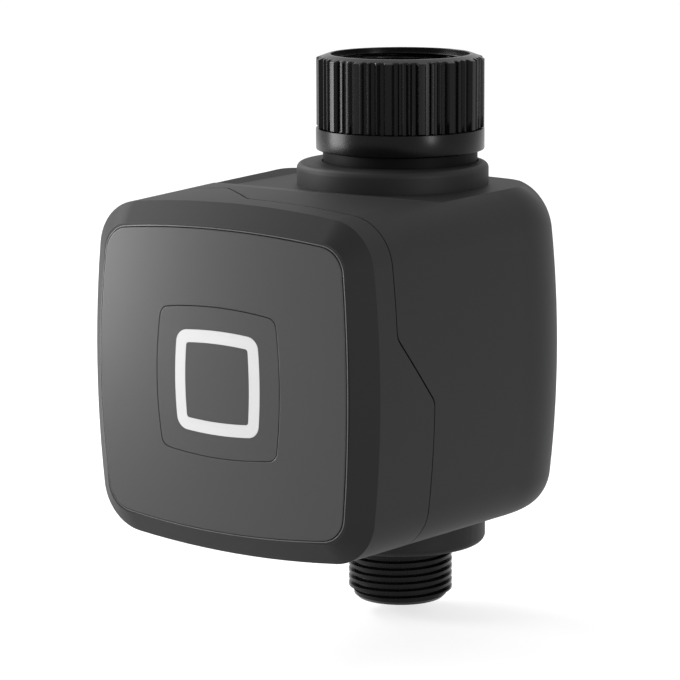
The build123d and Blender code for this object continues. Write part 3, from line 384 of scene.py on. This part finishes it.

# Bead on the lip round the panel, a glossy rounded edge of the rim; its colour, paler than the casing, is a
# painted highlight along the edge. Millimetres
bead = {
    "half": 36.29,          # half width and half height of its middle line
    "bow": 250.3,           # radius of its four sides
    "corner": 6.8,
    "middleHeight": -70.3,
    "crown": -76.25,        # where the lip's dome would be foremost
    "dome": 480.0,
    "wide": 0.13,           # half width of the bead
    "proud": 0.15,
    "sunk": 0.05,
    "perArc": 64,
    "across": 7,
    "sharpAngle": 60.0,
}


def bowedSquareLine(half, bow, corner, steps):
    # four side arcs of radius bow whose middles lie half from the centre, and four corner arcs tangent to
    # them; a corner's centre lies on the diagonal, bow - corner away from both side arcs' centres
    reach, centre = bow - corner, half - bow
    spot = (centre + math.sqrt(2.0 * reach ** 2 - centre ** 2)) / 2.0
    swing = math.atan2(spot, spot - centre)
    side = np.linspace(-swing, swing, steps, endpoint=False)
    turn = np.linspace(swing, math.pi / 2.0 - swing, steps, endpoint=False)
    x = np.concatenate([centre + bow * np.cos(side), spot + corner * np.cos(turn)])
    z = np.concatenate([bow * np.sin(side), spot + corner * np.sin(turn)])
    quarter = np.stack([x, z], axis=-1)
    quarterTurn = np.array([[0.0, 1.0], [-1.0, 0.0]])
    halfLine = np.concatenate([quarter, quarter @ quarterTurn])
    return np.concatenate([halfLine, -halfLine])


def lipBead():
    # a flattened ring is carried round the bowed square, half sunk in the lip's dome: its front stands proud
    # of the dome by the sine of the way round the ring, and its back lies in the lip
    line = bowedSquareLine(bead["half"], bead["bow"], bead["corner"], bead["perArc"])
    along = np.roll(line, -1, axis=0) - np.roll(line, 1, axis=0)
    along /= np.linalg.norm(along, axis=1, keepdims=True)
    outward = np.stack([along[:, 1], -along[:, 0]], axis=-1)
    sweep = np.linspace(0.0, 2.0 * math.pi, 2 * bead["across"], endpoint=False)
    aside, front = np.cos(sweep) * bead["wide"], np.sin(sweep)
    place = line[None, :, :] + aside[:, None, None] * outward[None, :, :]
    reach = (place ** 2).sum(axis=-1)
    depth = bead["crown"] + bead["dome"] - np.sqrt(bead["dome"] ** 2 - reach)
    depth -= np.where(front > 0.0, front * bead["proud"], front * bead["sunk"])[:, None]
    points = np.stack([place[..., 0], depth, place[..., 1] + bead["middleHeight"]], axis=-1)
    piece = closedGrid("lipBead", points, bead["sharpAngle"])
    # the bead's pale colour is a painted highlight along the lip's edge
    piece.data.materials.append(materials["edgeGlossPaintedHighlight"])
    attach(piece, "front_module")


lipBead()
print("bead made")

# AA cells behind the boards, seen when the front unit is pulled off. Millimetres along each cell from its
# flat end
cells = {
    "count": 4,
    "pitch": 15.6,
    "middleHeight": -70.3,
    "length": 50.3,
    "around": 48,
    "profile": ((0.12, 2.6, 1.0), (0.02, 3.2, 1.0), (0.02, 5.3, 1.0), (0.22, 5.7, 1.0), (0.05, 6.1, 0.0),
                (0.12, 6.7, 0.0), (0.6, 7.06, 0.0), (1.4, 7.08, 0.0), (47.6, 7.08, 0.0), (48.4, 7.05, 0.0),
                (48.9, 6.6, 0.0), (48.95, 6.0, 0.0), (48.7, 5.6, 1.0), (48.75, 3.1, 1.0), (49.0, 2.75, 1.0),
                (50.0, 2.6, 1.0), (50.25, 2.3, 1.0), (50.28, 1.2, 1.0)),   # along, radius, 1 where bare metal
    "sharpAngle": 35.0,
    "bareColour": (0.66, 0.66, 0.66, 1.0),
    "bareRoughness": 0.3,
}


def sleeveMaterial():
    # the sleeve's own finish, and bare tinned steel where the mesh's attribute says so
    material, tree, shader = freshMaterial("sleevedCell")
    new, link = tree.nodes.new, tree.links.new
    skin, bare = grainSkin(tree, finishes["cellSleeve"]), new("ShaderNodeAttribute")
    tint, gloss = new("ShaderNodeMix"), new("ShaderNodeMix")
    bare.attribute_name = "bareMetal"
    tint.data_type = "RGBA"
    link(bare.outputs["Fac"], tint.inputs["Factor"])
    link(skin.outputs["Color"], tint.inputs["A"])
    tint.inputs["B"].default_value = cells["bareColour"]
    link(bare.outputs["Fac"], gloss.inputs["Factor"])
    link(skin.outputs["Roughness"], gloss.inputs["A"])
    gloss.inputs["B"].default_value = cells["bareRoughness"]
    link(tint.outputs["Result"], shader.inputs["Base Color"])
    link(gloss.outputs["Result"], shader.inputs["Roughness"])
    link(bare.outputs["Fac"], shader.inputs["Metallic"])
    return material


def sleevedCells():
    # each cell is its profile turned about the cell's axis, with a fan of triangles closing each end;
    # every second cell is turned end for end
    along, radius, bare = np.array(cells["profile"]).T
    around, rows = cells["around"], len(along)
    turns = np.linspace(0.0, 2.0 * math.pi, around, endpoint=False)
    low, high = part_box("battery_cells")
    depth = 500.0 * (low[1] + high[1])
    along = along - cells["length"] / 2.0
    ring = np.stack([np.repeat(along[:, None], around, axis=1),
                     radius[:, None] * np.cos(turns), radius[:, None] * np.sin(turns)], axis=-1)
    ends = np.array([[along[0], 0.0, 0.0], [along[-1], 0.0, 0.0]])
    cell = np.concatenate([ring.reshape(-1, 3), ends])
    index = np.arange(rows * around).reshape(rows, around)
    right = np.roll(index, -1, axis=1)
    quads = np.stack([index[:-1], index[1:], right[1:], right[:-1]], axis=-1).reshape(-1, 4)
    first = np.stack([index[0], right[0], np.full(around, rows * around)], axis=-1)
    last = np.stack([right[-1], index[-1], np.full(around, rows * around + 1)], axis=-1)
    points, faces, metal = [], [], []
    for i in range(cells["count"]):
        way = 1.0 if i % 2 == 0 else -1.0
        height = cells["middleHeight"] + (i - (cells["count"] - 1) / 2.0) * cells["pitch"]
        points.append(cell * np.array([way, 1.0, way]) + np.array([0.0, depth, height]))
        for loops in (quads, first, last):
            faces += (loops + i * len(cell)).tolist()
        metal.append(np.concatenate([np.repeat(bare, around), [1.0, 1.0]]))
    piece = smoothPiece("sleevedCells", np.concatenate(points), faces, cells["sharpAngle"])
    piece.data.attributes.new("bareMetal", "FLOAT", "POINT").data.foreach_set("value", np.concatenate(metal))
    piece.data.materials.append(sleeveMaterial())
    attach(piece, "front_module")
    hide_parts("battery_cells")


sleevedCells()
print("cells made")

# Stage: a pale floor that the camera and the reflections see as white, apart from the object's shadow
floor = {
    "drop": 0.004,       # under the outlet
    "half": 4.0,
    "colour": 0.50,
    "lift": 0.62,        # added for camera, glossy and transmission rays
    "roughness": 0.9,
    "specular": 0.1,
}


def seenDirectly(tree):
    # 1 for camera, glossy and transmission rays, 0 for the rays that carry diffuse light
    new, link = tree.nodes.new, tree.links.new
    rays, first, second = new("ShaderNodeLightPath"), new("ShaderNodeMath"), new("ShaderNodeMath")
    first.operation = second.operation = "MAXIMUM"
    link(rays.outputs["Is Camera Ray"], first.inputs[0])
    link(rays.outputs["Is Glossy Ray"], first.inputs[1])
    link(first.outputs[0], second.inputs[0])
    link(rays.outputs["Is Transmission Ray"], second.inputs[1])
    return second.outputs[0]


def floorMaterial():
    material, tree, shader = freshMaterial("floorWhite")
    new, link = tree.nodes.new, tree.links.new
    shader.inputs["Base Color"].default_value = (floor["colour"],) * 3 + (1.0,)
    shader.inputs["Roughness"].default_value = floor["roughness"]
    shader.inputs["Specular IOR Level"].default_value = floor["specular"]
    glow, both = new("ShaderNodeEmission"), new("ShaderNodeAddShader")
    geometry, clear = new("ShaderNodeNewGeometry"), new("ShaderNodeBsdfTransparent")
    side = new("ShaderNodeMixShader")
    glow.inputs["Color"].default_value = (floor["lift"],) * 3 + (1.0,)
    link(seenDirectly(tree), glow.inputs["Strength"])
    link(shader.outputs["BSDF"], both.inputs[0])
    link(glow.outputs["Emission"], both.inputs[1])
    link(geometry.outputs["Backfacing"], side.inputs["Fac"])    # seen from below, the floor is clear
    link(both.outputs[0], side.inputs[1])
    link(clear.outputs[0], side.inputs[2])
    link(side.outputs[0], tree.nodes["Material Output"].inputs["Surface"])
    return material


def layFloor():
    low, half = cadBox[0][2] - floor["drop"], floor["half"]
    mesh = bpy.data.meshes.new("floor")
    mesh.from_pydata([(-half, -half, low), (half, -half, low), (half, half, low), (-half, half, low)], [],
                     [(0, 1, 2, 3)])
    mesh.materials.append(floorMaterial())
    sheet = bpy.data.objects.new("floor", mesh)
    bpy.context.scene.collection.objects.link(sheet)


layFloor()

# Soft boxes: the one at the left front gives the panel its fall-off, the narrow one a streak on the collar
lights = {
    "leftBox": {"place": (-0.46, -0.27, -0.06), "aim": (-0.03, -0.06, -0.07), "size": (0.26, 0.40),
                "watts": 5.0},
    "rightBox": {"place": (0.90, -0.22, 0.12), "aim": (0.0, -0.02, -0.03), "size": (0.10, 0.4),
                 "watts": 3.6},
    "backLeftBox": {"place": (-0.70, 0.05, 0.45), "aim": (-0.02, -0.03, -0.03), "size": (0.4, 0.3),
                    "watts": 4.5},
}


def softBox(name, light):
    lamp = bpy.data.lights.new(name, "AREA")
    lamp.shape = "RECTANGLE"
    lamp.size, lamp.size_y = light["size"]
    lamp.energy = light["watts"]
    holder = bpy.data.objects.new(name, lamp)
    place = Vector(light["place"])
    holder.location = place
    holder.rotation_euler = (Vector(light["aim"]) - place).to_track_quat("-Z", "Y").to_euler()
    bpy.context.scene.collection.objects.link(holder)


for name, light in lights.items():
    softBox(name, light)

room = {"fill": 0.75, "seen": 1.0}      # strength for diffuse light, and as a white background


def studioWorld():
    world = bpy.data.worlds.new("world")
    bpy.context.scene.world = world
    world.use_nodes = True
    tree = world.node_tree
    tree.nodes.clear()
    new, link = tree.nodes.new, tree.links.new
    pick, sky, out = new("ShaderNodeMix"), new("ShaderNodeBackground"), new("ShaderNodeOutputWorld")
    pick.inputs["A"].default_value = room["fill"]
    pick.inputs["B"].default_value = room["seen"]
    link(seenDirectly(tree), pick.inputs["Factor"])
    link(pick.outputs["Result"], sky.inputs["Strength"])
    sky.inputs["Color"].default_value = (1.0, 1.0, 1.0, 1.0)
    link(sky.outputs["Background"], out.inputs["Surface"])


studioWorld()
print("stage and lights set")
